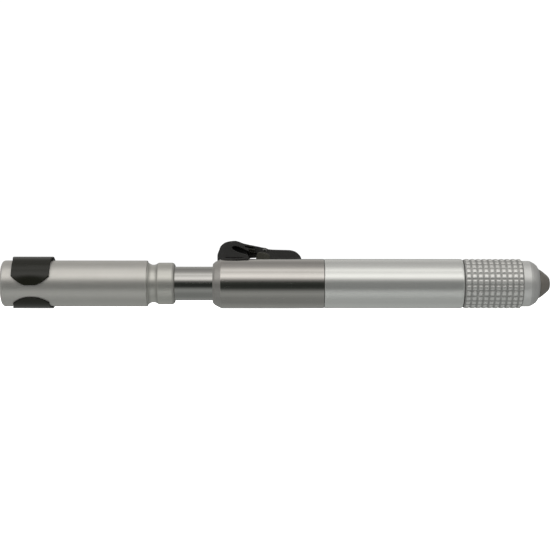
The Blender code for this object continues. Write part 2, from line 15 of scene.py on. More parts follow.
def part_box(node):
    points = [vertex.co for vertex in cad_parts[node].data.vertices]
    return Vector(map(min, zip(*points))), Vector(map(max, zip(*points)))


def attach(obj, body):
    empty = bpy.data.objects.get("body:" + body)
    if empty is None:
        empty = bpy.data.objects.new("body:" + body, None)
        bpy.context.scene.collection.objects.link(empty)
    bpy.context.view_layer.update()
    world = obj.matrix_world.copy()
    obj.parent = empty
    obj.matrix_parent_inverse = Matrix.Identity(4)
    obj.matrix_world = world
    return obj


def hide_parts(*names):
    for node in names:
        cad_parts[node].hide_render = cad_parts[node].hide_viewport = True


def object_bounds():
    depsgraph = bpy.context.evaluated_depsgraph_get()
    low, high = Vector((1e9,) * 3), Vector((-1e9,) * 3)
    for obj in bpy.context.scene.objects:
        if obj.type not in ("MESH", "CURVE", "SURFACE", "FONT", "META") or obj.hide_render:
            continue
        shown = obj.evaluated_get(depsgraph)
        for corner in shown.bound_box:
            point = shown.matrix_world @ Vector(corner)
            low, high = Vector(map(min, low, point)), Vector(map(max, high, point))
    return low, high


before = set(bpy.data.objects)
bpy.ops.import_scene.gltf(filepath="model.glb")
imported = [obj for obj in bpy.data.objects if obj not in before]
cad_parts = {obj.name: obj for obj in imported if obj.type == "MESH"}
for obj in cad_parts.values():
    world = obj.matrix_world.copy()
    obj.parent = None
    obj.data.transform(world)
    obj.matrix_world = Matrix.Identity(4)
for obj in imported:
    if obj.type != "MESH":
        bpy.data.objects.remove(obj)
cad_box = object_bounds()
scene = bpy.context.scene
MM = 0.001  # metres in a millimetre


def span(node, axis=0):
    """A CAD node's extent along an axis, in mm."""
    low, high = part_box(node)
    return low[axis] / MM, high[axis] / MM


def middle(node, axis=0):
    return sum(span(node, axis)) / 2


# ---------------------------------------------------------------- driving dimensions
AXIS_Y = middle("barrel_tube", 1)
AXIS_Z = middle("barrel_tube", 2)
HANDLE_RADIUS = 9.36
HANDLE_BORE = 8.0
BARREL_RADIUS = 10.03
BARREL_BORE = 8.92
ROD_RADIUS = 6.86
KNURL_ROOT = 9.82
KNURL_TOP = 10.07

SPINE_FRONT, SPINE_BACK = (edge - AXIS_Y for edge in span("bracket_spine", 1))
CLIP_SCREW_X = middle("clip_screw")
HINGE_X, HINGE_Z = middle("lever_pin"), middle("lever_pin", 2) - AXIS_Z
HINGE_RADIUS = 1.3
SHOE_SCREWS = [(node, middle(node), 0) for node in ("shoe_screw_1", "shoe_screw_2")]
LATCH_SCREWS = [
    (node, middle(node), middle(node, 2) - AXIS_Z) for node in (f"latch_screw_{i}" for i in range(1, 5))
]


# ---------------------------------------------------------------- shader nodes
def fill_ramp(ramp, stops):
    """Replaces a ramp's stops with (position, RGBA) ones."""
    elements = ramp.color_ramp.elements
    while len(elements) > 1:
        elements.remove(elements[-1])
    elements[0].position, elements[0].color = stops[0]
    for position, colour in stops[1:]:
        elements.new(position).color = colour


class Graph:
    """Short ways to add nodes to a node tree and wire them."""

    def __init__(self, tree):
        self.tree = tree

    def node(self, kind, **props):
        made = self.tree.nodes.new(kind)
        for key, value in props.items():
            setattr(made, key, value)
        return made

    def feed(self, node, inputs):
        """Sets inputs, by name or number, to plain values or links them to sockets."""
        for key, source in inputs.items():
            if isinstance(source, bpy.types.NodeSocket):
                self.tree.links.new(source, node.inputs[key])
            else:
                node.inputs[key].default_value = source

    def math(self, operation, first, second=0.0, clamp=False):
        made = self.node("ShaderNodeMath", operation=operation, use_clamp=clamp)
        self.feed(made, {0: first, 1: second})
        return made.outputs[0]


class Look(Graph):
    """A material: one Principled BSDF and the colour, roughness and bump layers that feed it."""

    def __init__(self, name, colour, rough, metallic=0.0):
        self.mat = bpy.data.materials.new(name)
        self.mat.use_nodes = True
        super().__init__(self.mat.node_tree)
        self.bsdf = self.tree.nodes["Principled BSDF"]
        plain = {"Base Color": (*colour, 1), "Roughness": rough, "Metallic": metallic}
        self.feed(self.bsdf, plain)
        self.colour = self.constant("ShaderNodeRGB", (*colour, 1))
        self.rough = self.constant("ShaderNodeValue", rough)
        self.normal = None
        self.coord = self.node("ShaderNodeTexCoord").outputs["Object"]

    def constant(self, kind, value):
        made = self.node(kind)
        made.outputs[0].default_value = value
        return made.outputs[0]

    def noise(self, per_metre, detail=2.0, rough=0.5):
        """Noise with this many features per metre, the same on all axes or as (x, y, z)."""
        if not isinstance(per_metre, tuple):
            per_metre = (per_metre,) * 3
        made = self.node("ShaderNodeTexNoise")
        scaled = self.node("ShaderNodeVectorMath", operation="MULTIPLY")
        self.feed(scaled, {0: self.coord, 1: per_metre})
        self.feed(
            made, {"Vector": scaled.outputs[0], "Scale": 1.0, "Detail": detail, "Roughness": rough}
        )
        return made.outputs["Fac"]

    def ramp(self, source, *stops):
        """Maps a 0 to 1 value through (position, value) stops."""
        made = self.node("ShaderNodeValToRGB")
        self.feed(made, {0: source})
        fill_ramp(made, [(position, (level, level, level, 1)) for position, level in stops])
        return made.outputs["Color"]

    def split(self, vector):
        made = self.node("ShaderNodeSeparateXYZ")
        self.feed(made, {0: vector})
        return made.outputs

    def tint(self, mask, colour):
        """Blends the colour towards another one where mask is 1."""
        made = self.node("ShaderNodeMix", data_type="RGBA")
        self.feed(made, {"Factor": mask, "A": self.colour, "B": (*colour, 1)})
        self.colour = made.outputs["Result"]

    def rougher(self, mask, amount):
        self.rough = self.math("ADD", self.rough, self.math("MULTIPLY", mask, amount))

    def bump(self, height, metres):
        made = self.node("ShaderNodeBump")
        self.feed(made, {"Strength": 1.0, "Distance": metres, "Height": height})
        if self.normal is not None:
            self.feed(made, {"Normal": self.normal})
        self.normal = made.outputs["Normal"]

    def done(self, aniso=0.0, shine=None):
        """Wires the layers in; aniso stretches highlights round the pump's axis."""
        rough = self.math("MAXIMUM", self.math("MINIMUM", self.rough, 0.95), 0.04)
        self.feed(self.bsdf, {"Base Color": self.colour, "Roughness": rough, "Normal": self.normal})
        if aniso:
            tangent = self.node("ShaderNodeTangent", direction_type="RADIAL", axis="X")
            self.feed(
                self.bsdf,
                {"Tangent": tangent.outputs[0], "Anisotropic": aniso, "Anisotropic Rotation": 0.25},
            )
        if shine is not None:
            self.feed(self.bsdf, {"Specular IOR Level": shine})
        return self.mat


def darker(colour, factor):
    return tuple(part * factor for part in colour)


def paler(colour, factor):
    return tuple(min(1, part * factor + 0.02) for part in colour)


# ---------------------------------------------------------------- materials
def turned_metal(
    name, colour, rough, aniso, rings=1.2e-6, streaks=0.0, patina=0.06, metallic=1.0,
    groove=None, flank=None, painted_shade_level=0.42, hairs=0.12,
):
    """Turned aluminium: fine rings round the axis and faint handling marks.

    rings: ring height in metres. streaks: strength of lengthwise polishing lines.
    patina: cloudiness. metallic: below 1 gives the milky haze of an anodised skin.
    groove: (deepest, shade-free) radii in mm between which the colour is painted darker, painted shade in
    the grooves.
    flank: range of the normal's x over which faces are painted darker, painted shade.
    painted_shade_level: brightness left in those painted-shade places. hairs: roughness of hairline
    scratches.
    """
    look = Look(name, colour, rough, metallic)
    dark = darker(colour, 0.72)
    ring = look.noise((1 / (0.16 * MM), 40, 40), detail=3.0, rough=0.6)
    cloud = look.ramp(look.noise(160, detail=3.0), (0.35, 0.0), (0.75, 1.0))
    look.tint(look.math("MULTIPLY", cloud, patina * 3), dark)
    marks = look.ramp(look.noise(420, detail=4.0, rough=0.6), (0.3, 0.0), (0.8, 1.0))
    look.rougher(marks, amount=patina)
    look.rougher(ring, amount=0.05)
    look.bump(ring, metres=rings)
    if streaks:
        line = look.noise((14, 2600, 2600), detail=3.0, rough=0.65)
        look.tint(look.ramp(line, (0.45, 0.0), (0.72, 0.22 * streaks)), dark)
        look.rougher(look.ramp(line, (0.35, 0.0), (0.7, 1.0)), amount=0.07 * streaks)
        look.bump(line, metres=3.0e-6 * streaks)
    if groove:
        # painted shade: the colour darkens where the surface is nearer to the axis, deep in the grooves
        deepest, shade_free = groove
        _, y, z = look.split(look.coord)
        squares = look.math("ADD", look.math("POWER", y, 2.0), look.math("POWER", z, 2.0))
        depth = look.math("SUBTRACT", shade_free * MM, look.math("SQRT", squares))
        low = look.math("DIVIDE", depth, (shade_free - deepest) * MM, clamp=True)
        patchy = look.ramp(look.noise(900, detail=3.0), (0.3, 0.75), (0.7, 1.0))
        low = look.math("MULTIPLY", low, patchy)
        # painted shade: darker colour towards the groove floor
        look.tint(low, darker(colour, painted_shade_level))
        look.rougher(low, amount=0.43 * (1 - painted_shade_level))
    if flank:
        # painted shade: surfaces that face along the pump are painted a shade darker
        shallow, steep = flank
        along = look.split(look.node("ShaderNodeNewGeometry").outputs["Normal"])[0]
        beyond = look.math("SUBTRACT", look.math("ABSOLUTE", along), shallow)
        facing = look.math("DIVIDE", beyond, steep - shallow, clamp=True)
        patchy = look.ramp(look.noise(700), (0.3, 0.85), (0.7, 1.0))
        look.tint(look.math("MULTIPLY", facing, patchy), darker(colour, painted_shade_level))
    # short hairline scratches from handling
    scratch = look.noise((120, 5200, 5200), detail=0.0)
    look.rougher(look.ramp(scratch, (0.0, 0.0), (0.755, 0.0), (0.78, 1.0)), amount=hairs)
    return look.done(aniso=aniso)


def moulded_plastic(
    name, colour, rough, grain=4.0e-6, scuff=0.35, uneven=0.14, shine=0.5, ripple=2.0e-5
):
    """Moulded plastic: fine spark-eroded grain, slight sheen changes, a few paler scuffs.

    grain, ripple: heights in metres. scuff: strength of the scuffs. uneven: sheen change.
    """
    look = Look(name, colour, rough)
    fine = look.noise(5200, detail=3.0, rough=0.6)
    soft = look.noise(300, detail=3.0)
    look.rougher(look.ramp(soft, (0.3, 0.0), (0.75, 1.0)), amount=uneven)
    look.rougher(fine, amount=0.06)
    patches = look.noise(900, detail=5.0, rough=0.7)
    worn = look.ramp(patches, (0.0, 0.0), (0.62, 0.0), (0.75, 1.0))
    look.tint(look.math("MULTIPLY", worn, scuff), paler(colour, 2.6))
    look.bump(soft, metres=ripple)
    look.bump(fine, metres=grain)
    return look.done(shine=shine)


def rubbery(name, colour, rough):
    """Dull rubber with a dusting of paler patches."""
    look = Look(name, colour, rough)
    fine = look.noise(3800, detail=4.0, rough=0.7)
    dust = look.ramp(look.noise(700, detail=4.0, rough=0.6), (0.4, 0.0), (0.72, 1.0))
    look.tint(look.math("MULTIPLY", dust, 0.35), paler(colour, 1.7))
    look.rougher(dust, amount=0.12)
    look.bump(fine, metres=8.0e-6)
    look.bump(look.noise(500), metres=2.5e-5)
    return look.done(shine=0.35)


def plated(name, colour, rough):
    """Plated steel with cloudy, darker patches."""
    look = Look(name, colour, rough, metallic=1.0)
    cloud = look.ramp(look.noise(900, detail=4.0, rough=0.6), (0.3, 0.0), (0.75, 1.0))
    look.rougher(cloud, amount=0.12)
    patches = look.ramp(look.noise(600, detail=3.0), (0.5, 0.0), (0.85, 0.5))
    look.tint(patches, darker(colour, 0.55))
    look.bump(look.noise(3000), metres=2.0e-6)
    return look.done()


HANDLE = turned_metal(
    "handle_satin", (0.69, 0.68, 0.645), rough=0.35, aniso=0.35, streaks=0.2, patina=0.04,
    metallic=0.80, hairs=0.06,
)
# painted shade: the collar's faces that turn along the pump are painted darker
COLLAR = turned_metal(
    "collar_satin", (0.69, 0.685, 0.64), rough=0.32, aniso=0.35, streaks=0.2, patina=0.04,
    metallic=0.82, flank=(0.22, 0.7), painted_shade_level=0.56, hairs=0.06,
)
SATIN = turned_metal(
    "barrel_satin", (0.84, 0.85, 0.825), rough=0.18, aniso=0.75, rings=0.7e-6, streaks=0.08,
    patina=0.015, metallic=0.74, hairs=0.03,
)
POLISHED = turned_metal(
    "sleeve_polished", (0.67, 0.65, 0.62), rough=0.085, aniso=0.35, rings=3.0e-7, streaks=0.8,
    patina=0.03,
)
ROD = turned_metal(
    "rod_polished", (0.62, 0.615, 0.595), rough=0.09, aniso=0.3, rings=3.0e-7, streaks=0.7,
    patina=0.03,
)
CHAMFER = turned_metal(
    "mouth_turned", (0.51, 0.497, 0.475), rough=0.36, aniso=0.5, rings=2.0e-6, patina=0.05,
    metallic=0.85,
)
# painted shade: the knurl's grooves are painted darker through groove
KNURL = turned_metal(
    "knurl_satin", (0.84, 0.84, 0.815), rough=0.24, aniso=0.0, rings=1.0e-6, patina=0.05,
    metallic=0.72, groove=(KNURL_ROOT, 9.995),
)
# painted shade: the nose's chamfer faces are painted darker
NOSE = turned_metal(
    "nose_satin", (0.73, 0.735, 0.72), rough=0.40, aniso=0.3, streaks=0.1, patina=0.03,
    metallic=0.65, flank=(0.2, 0.42), painted_shade_level=0.74, hairs=0.05,
)
LINER = turned_metal("liner_drawn", (0.62, 0.63, 0.64), rough=0.25, aniso=0.5, streaks=0.4)
BRASS = turned_metal("washer_brass", (0.75, 0.58, 0.28), rough=0.22, aniso=0.5)
STEEL = plated("screw_steel", (0.58, 0.58, 0.57), rough=0.22)
NYLON = moulded_plastic("nylon_black", (0.030, 0.030, 0.029), rough=0.42)
CLIP = moulded_plastic(
    "clip_black", (0.0115, 0.0120, 0.0082), rough=0.14, grain=0.8e-6, scuff=0.25, uneven=0.03,
    shine=0.46, ripple=0.5e-5,
)
# painted shade: a darker, rougher material for the clip's front edge walls
CLIP_SHADED_EDGE = moulded_plastic(
    "clip_shaded_edge", (0.0035, 0.0036, 0.003), rough=0.5, grain=2.0e-6, scuff=0.1, uneven=0.05, shine=0.25
)
# painted light: a paler nylon for front faces that the light falls on
PAINTED_LIGHT_NYLON = moulded_plastic("nylon_painted_light", (0.046, 0.046, 0.036), rough=0.5)
PIN = plated("pin_black", (0.26, 0.26, 0.255), rough=0.12)
ACETAL = moulded_plastic("acetal_black", (0.02, 0.02, 0.022), rough=0.32, grain=1.5e-6, scuff=0.15)
RUBBER = rubbery("rubber_black", (0.018, 0.018, 0.018), rough=0.62)
PLUG = turned_metal(
    "rubber_grey", (0.242, 0.226, 0.204), rough=0.30, aniso=0.0, rings=2.0e-6, patina=0.05,
    metallic=0.55, hairs=0.04,
)


# ---------------------------------------------------------------- outlines
def rounded(corners, steps=5):
    """An (x, radius) path whose (x, radius, corner radius) points are replaced by arcs."""
    path = []
    for i, corner in enumerate(corners):
        bend = corner[2] if len(corner) > 2 else 0.0
        here = Vector(corner[:2])
        if bend <= 0 or i in (0, len(corners) - 1):
            path.append(tuple(here))
            continue
        back, ahead = Vector(corners[i - 1][:2]) - here, Vector(corners[i + 1][:2]) - here
        back_length, ahead_length = back.length, ahead.length
        back.normalize()
        ahead.normalize()
        half = math.acos(max(-1, min(1, back.dot(ahead)))) / 2
        if half > math.pi / 2 - 0.02:  # nearly straight
            path.append(tuple(here))
            continue
        reach = min(bend / math.tan(half), back_length * 0.48, ahead_length * 0.48)
        bend = reach * math.tan(half)
        centre = here + (back + ahead).normalized() * (bend / math.sin(half))
        start, end = here + back * reach - centre, here + ahead * reach - centre
        turn = math.atan2(start.x * end.y - start.y * end.x, start.dot(end))
        for k in range(steps + 1):
            cos, sin = math.cos(turn * k / steps), math.sin(turn * k / steps)
            path.append(
                (centre.x + start.x * cos - start.y * sin, centre.y + start.x * sin + start.y * cos)
            )
    return path


def arc(x, y, radius, start, end, steps):
    """Points from start to end degrees round (x, y)."""
    angles = [math.radians(start + (end - start) * i / steps) for i in range(steps + 1)]
    return [(x + radius * math.cos(angle), y + radius * math.sin(angle)) for angle in angles]


def hexagon(x, z, radius):
    return arc(x, z, radius, 0, 300, 5)


def stadium(x, half_length, radius):
    reach = half_length - radius
    return arc(x + reach, 0, radius, -90, 90, 12) + arc(x - reach, 0, radius, 90, 270, 12)


def curve_through(points, per=4):
    """A smooth open path through points (Catmull-Rom), in per steps between each two."""
    path = []
    padded = [Vector(point) for point in (points[0], *points, points[-1])]
    for before, here, after, beyond in zip(padded, padded[1:], padded[2:], padded[3:]):
        for k in range(per):
            t = k / per
            square = (2 * before - 5 * here + 4 * after - beyond) * t * t
            cube = (3 * here - before - 3 * after + beyond) * t**3
            path.append(tuple(0.5 * (2 * here + (after - before) * t + square + cube)))
    path.append(tuple(points[-1]))
    return path


def smooth(t):
    t = max(0.0, min(1.0, t))
    return t * t * (3 - 2 * t)


# ---------------------------------------------------------------- solids
def mesh_object(solid, name="tool", origin=(0, 0, 0)):
    """Links a bmesh as an object; origin is in scene mm, the bmesh in metres about it."""
    bmesh.ops.recalc_face_normals(solid, faces=solid.faces)
    if solid.calc_volume(signed=True) < 0:
        bmesh.ops.reverse_faces(solid, faces=solid.faces)
    mesh = bpy.data.meshes.new(name)
    solid.to_mesh(mesh)
    solid.free()
    made = bpy.data.objects.new(name, mesh)
    scene.collection.objects.link(made)
    made.location = Vector(origin) * MM
    bpy.context.view_layer.update()
    return made


def bridge(solid, rings, closed):
    """Joins rings of vertices in turn; a ring of one vertex makes a fan."""
    count = max(len(rings[0]), len(rings[1]))
    for first, second in zip(rings, rings[1:] + (rings[:1] if closed else [])):
        for k in range(count):
            n = (k + 1) % count
            corners = (
                first[k % len(first)], second[k % len(second)],
                second[n % len(second)], first[n % len(first)],
            )
            solid.faces.new(tuple(dict.fromkeys(corners)))


def turned_bmesh(profile, segments):
    """Turned about X from (x, radius) points; closed into a ring unless it starts on the axis."""
    solid = bmesh.new()
    turns = [2 * math.pi * k / segments for k in range(segments)]
    rings = []
    for x, radius in profile:
        if radius <= 1e-9:
            rings.append([solid.verts.new((x * MM, 0, 0))])
            continue
        size = radius * MM
        rings.append(
            [solid.verts.new((x * MM, size * math.sin(a), size * math.cos(a))) for a in turns]
        )
    bridge(solid, rings, closed=profile[0][1] > 1e-9)
    return solid


def placed(solid, x, z, name="tool"):
    """An object whose vertices, not its origin, are moved to (x, z) from the pump's axis."""
    bmesh.ops.translate(solid, verts=solid.verts, vec=Vector((x, AXIS_Y, z + AXIS_Z)) * MM)
    return mesh_object(solid, name)


def bar(profile, x, z, segments=32, name="tool"):
    """Turned about a Y axis through (x, z), from (y, radius) points."""
    solid = turned_bmesh(profile, segments)
    bmesh.ops.transform(solid, matrix=Matrix.Rotation(math.radians(90), 4, "Z"), verts=solid.verts)
    return placed(solid, x, z, name)


def drill(x, z, bores, end, segments=32):
    """A stepped tool along Y: each (start y, radius) bore runs to the next one's start or to end."""
    profile = [(bores[0][0], 0)]
    stops = [start for start, _ in bores[1:]] + [end]
    for (start, radius), stop in zip(bores, stops):
        profile += [(start, radius), (stop, radius)]
    return bar(profile + [(end, 0)], x, z, segments)


def prism(points, axis, low, high, name="tool"):
    """An outline extruded from low to high: (y, z) along X, (x, z) along Y, (x, y) along Z."""

    def corner(first, second, along):
        x, y, z = {
            "X": (along, first, second), "Y": (first, along, second), "Z": (first, second, along),
        }[axis]
        return Vector((x, y + AXIS_Y, z + AXIS_Z)) * MM

    solid = bmesh.new()
    face = solid.faces.new([solid.verts.new(corner(*point, low)) for point in points])
    grown = bmesh.ops.extrude_face_region(solid, geom=[face])["geom"]
    moved = [item for item in grown if isinstance(item, bmesh.types.BMVert)]
    bmesh.ops.translate(solid, verts=moved, vec=corner(0, 0, high) - corner(0, 0, low))
    return mesh_object(solid, name)


def box(x, y, z, name="tool"):
    return prism([(x[0], z[0]), (x[1], z[0]), (x[1], z[1]), (x[0], z[1])], "Y", *y, name)


def bake(obj):
    """Applies the object's modifiers."""
    bpy.context.view_layer.update()
    graph = bpy.context.evaluated_depsgraph_get()
    mesh = bpy.data.meshes.new_from_object(obj.evaluated_get(graph))
    obj.modifiers.clear()
    old = obj.data
    obj.data = mesh
    bpy.data.meshes.remove(old)
    mesh.name = obj.name


def combine(target, others, operation="DIFFERENCE"):
    """Combines the others into the target and removes them."""
    for other in others:
        step = target.modifiers.new("op", "BOOLEAN")
        step.object, step.operation, step.solver = other, operation, "EXACT"
    bake(target)
    for other in others:
        data = other.data
        bpy.data.objects.remove(other)
        bpy.data.meshes.remove(data)


def soften(obj, voxel):
    """Rounds a solid's edges as a moulding has them: an even remesh, then smoothing."""
    step = obj.modifiers.new("remesh", "REMESH")
    step.mode, step.voxel_size = "VOXEL", voxel * MM
    relax = obj.modifiers.new("relax", "SMOOTH")
    relax.factor, relax.iterations = 0.5, 4
    bake(obj)


def bevelled(obj, width, angle=40):
    step = obj.modifiers.new("bevel", "BEVEL")
    step.width, step.segments, step.limit_method = width * MM, 2, "ANGLE"
    step.angle_limit = math.radians(angle)
    step.harden_normals = False
    bake(obj)


def finish_piece(obj, look, body, node, sharp=32):
    obj.data.materials.clear()
    obj.data.materials.append(look)
    obj.data.shade_smooth()
    obj.data.set_sharp_from_angle(angle=math.radians(sharp))
    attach(obj, body)
    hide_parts(node)


def lathe(node, corners, look, body, segments, steps=5, name=None):
    """A piece turned about the pump's axis from (x, radius[, corner radius]) corners.

    With steps=0 the corners are taken as they are.
    """
    profile = rounded(corners, steps) if steps else corners
    solid = turned_bmesh(profile, segments)
    made = mesh_object(solid, name or "v_" + node, (0, AXIS_Y, AXIS_Z))
    finish_piece(made, look, body, node)
    return made


# ---------------------------------------------------------------- handle
def handle_tube():
    """Tube with a crowned, rounded end face."""
    left, right = span("handle_tube")
    corner = 1.35
    mouth = 5.6
    flat = HANDLE_RADIUS - corner
    profile = [
        (left + 0.02 + 0.5 * (radius / 9) ** 2 - 0.19, radius)
        for radius in (mouth, 6.2, 6.8, 7.4, flat)
    ]
    bend = profile[-1][0]
    for angle in map(math.radians, range(20, 91, 7)):
        profile.append((bend + corner * (1 - math.cos(angle)), flat + corner * math.sin(angle)))
    profile += rounded([
        (bend + corner + 0.3, HANDLE_RADIUS), (right, HANDLE_RADIUS, 0.32),
        (right, HANDLE_BORE, 0.15), (right - 1.0, HANDLE_BORE),
    ])
    profile += [(left + 3.15, HANDLE_BORE), (left + 3.15, mouth)]
    lathe("handle_tube", profile, HANDLE, "handle", 144, steps=0)


def end_cap():
    """Stepped cap in the handle's end, with a ring groove in its skirt."""
    left, right = span("handle_end_cap")
    corners = [
        (left + 0.35, 0), (left + 0.32, 1.2), (left + 0.06, 2.0, 0.6), (left + 0.02, 3.4),
        (left + 0.06, 5.32, 0.22), (left + 0.6, 5.34, 0.1), (-60.3, 5.35), (-60.3, 7.8),
        (-59.5, 7.8), (-59.5, 6.7), (-57.9, 6.7), (-57.9, 7.8),
        (right, 7.8), (right, 5.2), (-59.6, 5.0), (-59.6, 0),
    ]
    lathe("handle_end_cap", corners, HANDLE, "handle", 96, name="v_end_cap")


def handle_collar():
    """Collar with a round groove, then a land, at the handle's right end."""
    left, right = span("handle_collar")
    inner, land = 6.95, 8.50
    groove_left, groove_right = -3.4, 1.45
    groove_x, groove_floor, groove_arc = -1.15, 7.66, 2.85
    profile = [(left, inner), (left, 7.85), (groove_left, 7.85)]
    for i in range(21):
        x = groove_left + (groove_right - groove_left) * i / 20
        radius = groove_floor + groove_arc - math.sqrt(groove_arc**2 - (x - groove_x) ** 2)
        profile.append((x, min(radius, land)))
    end = [
        (1.5, land), (right - 1.05, land, 0.5), (right - 0.4, 8.15, 0.4), (right, 7.62, 0.3),
        (right, inner),
    ]
    profile += rounded(end, 4)[1:]
    lathe("handle_collar", profile, COLLAR, "handle", 144, steps=0)


def plunger_rod():
    left, right = span("plunger_rod")
    corners = [(left, 5.8), (left, ROD_RADIUS, 0.3), (right, ROD_RADIUS, 0.3), (right, 5.8)]
    lathe("plunger_rod", corners, ROD, "handle", 144)


# ---------------------------------------------------------------- barrel
def front_sleeve():
    """Polished sleeve with a chamfered mouth in a duller finish."""
    left, right = span("front_sleeve")
    corners = [
        (left + 1.4, 7.45), (left, 7.45), (left, 7.95, 0.12), (left + 0.9, 8.83, 0.5),
        (left + 3.15, 9.93, 0.12), (left + 3.35, BARREL_RADIUS, 0.05),
        (right + 0.08, BARREL_RADIUS, 0.06), (right + 0.08, 8.95, 0.1),
        (right - 0.5, BARREL_BORE), (left + 1.4, BARREL_BORE),
    ]
    sleeve = lathe("front_sleeve", corners, POLISHED, "barrel", 160)
    sleeve.data.materials.append(CHAMFER)
    for face in sleeve.data.polygons:
        if face.center.x < (left + 3.2) * MM:
            face.material_index = 1


def rod_guide():
    left = span("front_sleeve")[0]
    corners = [
        (left + 0.3, 6.95), (left + 0.3, 7.35, 0.15), (left + 1.6, 7.35), (left + 1.6, 8.75),
        (33.0, 8.75), (33.0, 6.95), (29.0, 6.95), (29.0, 7.9), (27.6, 7.9), (27.6, 6.95),
    ]
    lathe("rod_guide", corners, ACETAL, "barrel", 96)


def seam_ring():
    """Dark ring between the sleeve and the barrel tube."""
    left, right = span("front_sleeve")[1] + 0.11, span("barrel_tube")[0] - 0.11
    corners = [(left, 8.95), (left, 9.82, 0.03), (right, 9.82, 0.03), (right, 8.95)]
    lathe("seam_ring", corners, RUBBER, "barrel", 96)


def barrel_tube():
    left, right = span("barrel_tube")
    corners = [
        (left - 0.08, BARREL_BORE), (left - 0.08, BARREL_RADIUS - 0.14, 0.05),
        (left + 0.3, BARREL_RADIUS, 0.15), (right - 0.95, BARREL_RADIUS, 0.4),
        (right - 0.35, 9.86, 0.3), (right, 9.5, 0.15), (right, BARREL_BORE),
    ]
    lathe("barrel_tube", corners, SATIN, "barrel", 160)


# ---------------------------------------------------------------- head
PAD_ROWS = 26  # knurl pads round the collar
PAD_PITCH = 2.36  # and their pitch along it
PAD_PHASE = 274.2  # degrees from the top to a row's centre, just above the front


def pad_section(half):
    return half + [(0.5, 1.03)] + [(1 - t, height) for t, height in half[:0:-1]]


# (part of the pitch, part of the pad height): groove floor, flank, shoulder, crowned top
PAD_AROUND = pad_section([
    (0.0, 0.0), (0.07, 0.02), (0.115, 0.14), (0.155, 0.45), (0.195, 0.75), (0.235, 0.9),
    (0.285, 0.97), (0.35, 1.0), (0.42, 1.02),
])
# along the pump the pads are a little narrower
PAD_ALONG = pad_section([
    (0.0, 0.0), (0.08, 0.02), (0.13, 0.1), (0.185, 0.38), (0.24, 0.66), (0.3, 0.86),
    (0.37, 0.97), (0.44, 1.01),
])


def knurled_collar():
    """Lock collar covered in rows of square pads."""
    left, right = span("knurled_lock_collar")
    knurl_left, knurl_right = left + 0.2, right - 0.22
    front = [(left + 1.5, 7.2), (left, 7.2), (left, 9.58, 0.12), (knurl_left, KNURL_ROOT)]
    back = [(knurl_right, KNURL_ROOT), (right, 9.56, 0.15), (right, 8.35), (141.0, 8.35)]

    # stations along the collar: (x, radius, pad height there)
    stations = [(x, radius, 0.0) for x, radius in rounded(front, 4)[:-1]]
    for i in range(10):
        for t, height in PAD_ALONG:
            x = knurl_left + PAD_PITCH * (i + t)
            if x < knurl_right - 0.2:
                stations.append((x, KNURL_ROOT, height))
    stations += [(knurl_right - 0.12, KNURL_ROOT, 0.55), (knurl_right - 0.02, KNURL_ROOT, 0.0)]
    stations += [(x, radius, 0.0) for x, radius in rounded(back, 4)[1:] + [(141.0, 7.2)]]

    turns = [
        (math.radians(PAD_PHASE + 360 / PAD_ROWS * (i + t - 0.5)), height)
        for i in range(PAD_ROWS)
        for t, height in PAD_AROUND
    ]
    solid = bmesh.new()
    rings = []
    for x, base, along in stations:
        ring = []
        for angle, around in turns:
            radius = base + (KNURL_TOP - KNURL_ROOT) * along * around
            spot = (x * MM, radius * MM * math.sin(angle), radius * MM * math.cos(angle))
            ring.append(solid.verts.new(spot))
        rings.append(ring)
    bridge(solid, rings, closed=True)
    made = mesh_object(solid, "v_knurled_collar", (0, AXIS_Y, AXIS_Z))
    finish_piece(made, KNURL, "lock_collar", "knurled_lock_collar", sharp=60)


def nose_cap():
    left, right = span("nose_cap")
    shoulder = span("knurled_lock_collar")[1] + 0.12
    corners = [
        (left, 3.4), (left, 4.7), (left + 1.4, 4.7), (left + 1.4, 8.15), (shoulder, 8.15),
        (shoulder, 9.31, 0.12), (right - 4.0, 9.31, 0.15), (right - 3.05, 8.93, 0.6),
        (right - 2.0, 8.33, 0.6), (right - 1.15, 7.68, 0.5), (right - 0.78, 7.2, 0.3),
        (right - 0.4, 6.5, 0.3), (right - 0.02, 6.0, 0.2), (right, 5.2, 0.1),
        (right - 0.25, 3.4, 0.1),
    ]
    lathe("nose_cap", corners, NOSE, "lock_collar", 144)


def dust_plug():
    """Plug in the nose, with a flange against the nose's end face."""
    left, right = span("dust_plug")
    nose_end = span("nose_cap")[1]
    corners = [
        (left, 0), (left, 2.4, 0.3), (left + 0.7, 3.1, 0.2), (nose_end + 0.12, 3.1),
        (nose_end + 0.12, 5.9, 0.08), (nose_end + 0.45, 5.72, 0.12), (right - 3.5, 5.26, 0.2),
        (right - 1.1, 3.3, 1.2), (right - 0.25, 2.2, 0.9), (right, 0.9, 0.4), (right, 0),
    ]
    lathe("dust_plug", corners, PLUG, "plug", 112)


def valve_gland():
    corners = [
        (130.25, 3.05, 0.15), (130.25, 4.9, 0.2), (138.6, 4.9, 0.2), (138.6, 3.7, 0.3),
        (137.6, 3.1, 0.2), (136.0, 3.1, 0.2), (135.4, 3.4, 0.1), (133.8, 3.4, 0.1),
        (133.2, 3.1, 0.2), (131.6, 3.1),
    ]
    lathe("valve_gland", corners, RUBBER, "barrel", 80)


def thrust_washer():
    corners = [(138.85, 3.4), (138.85, 4.85, 0.1), (139.7, 4.85, 0.1), (139.7, 3.4)]
    lathe("thrust_washer", corners, BRASS, "thrust", 80)


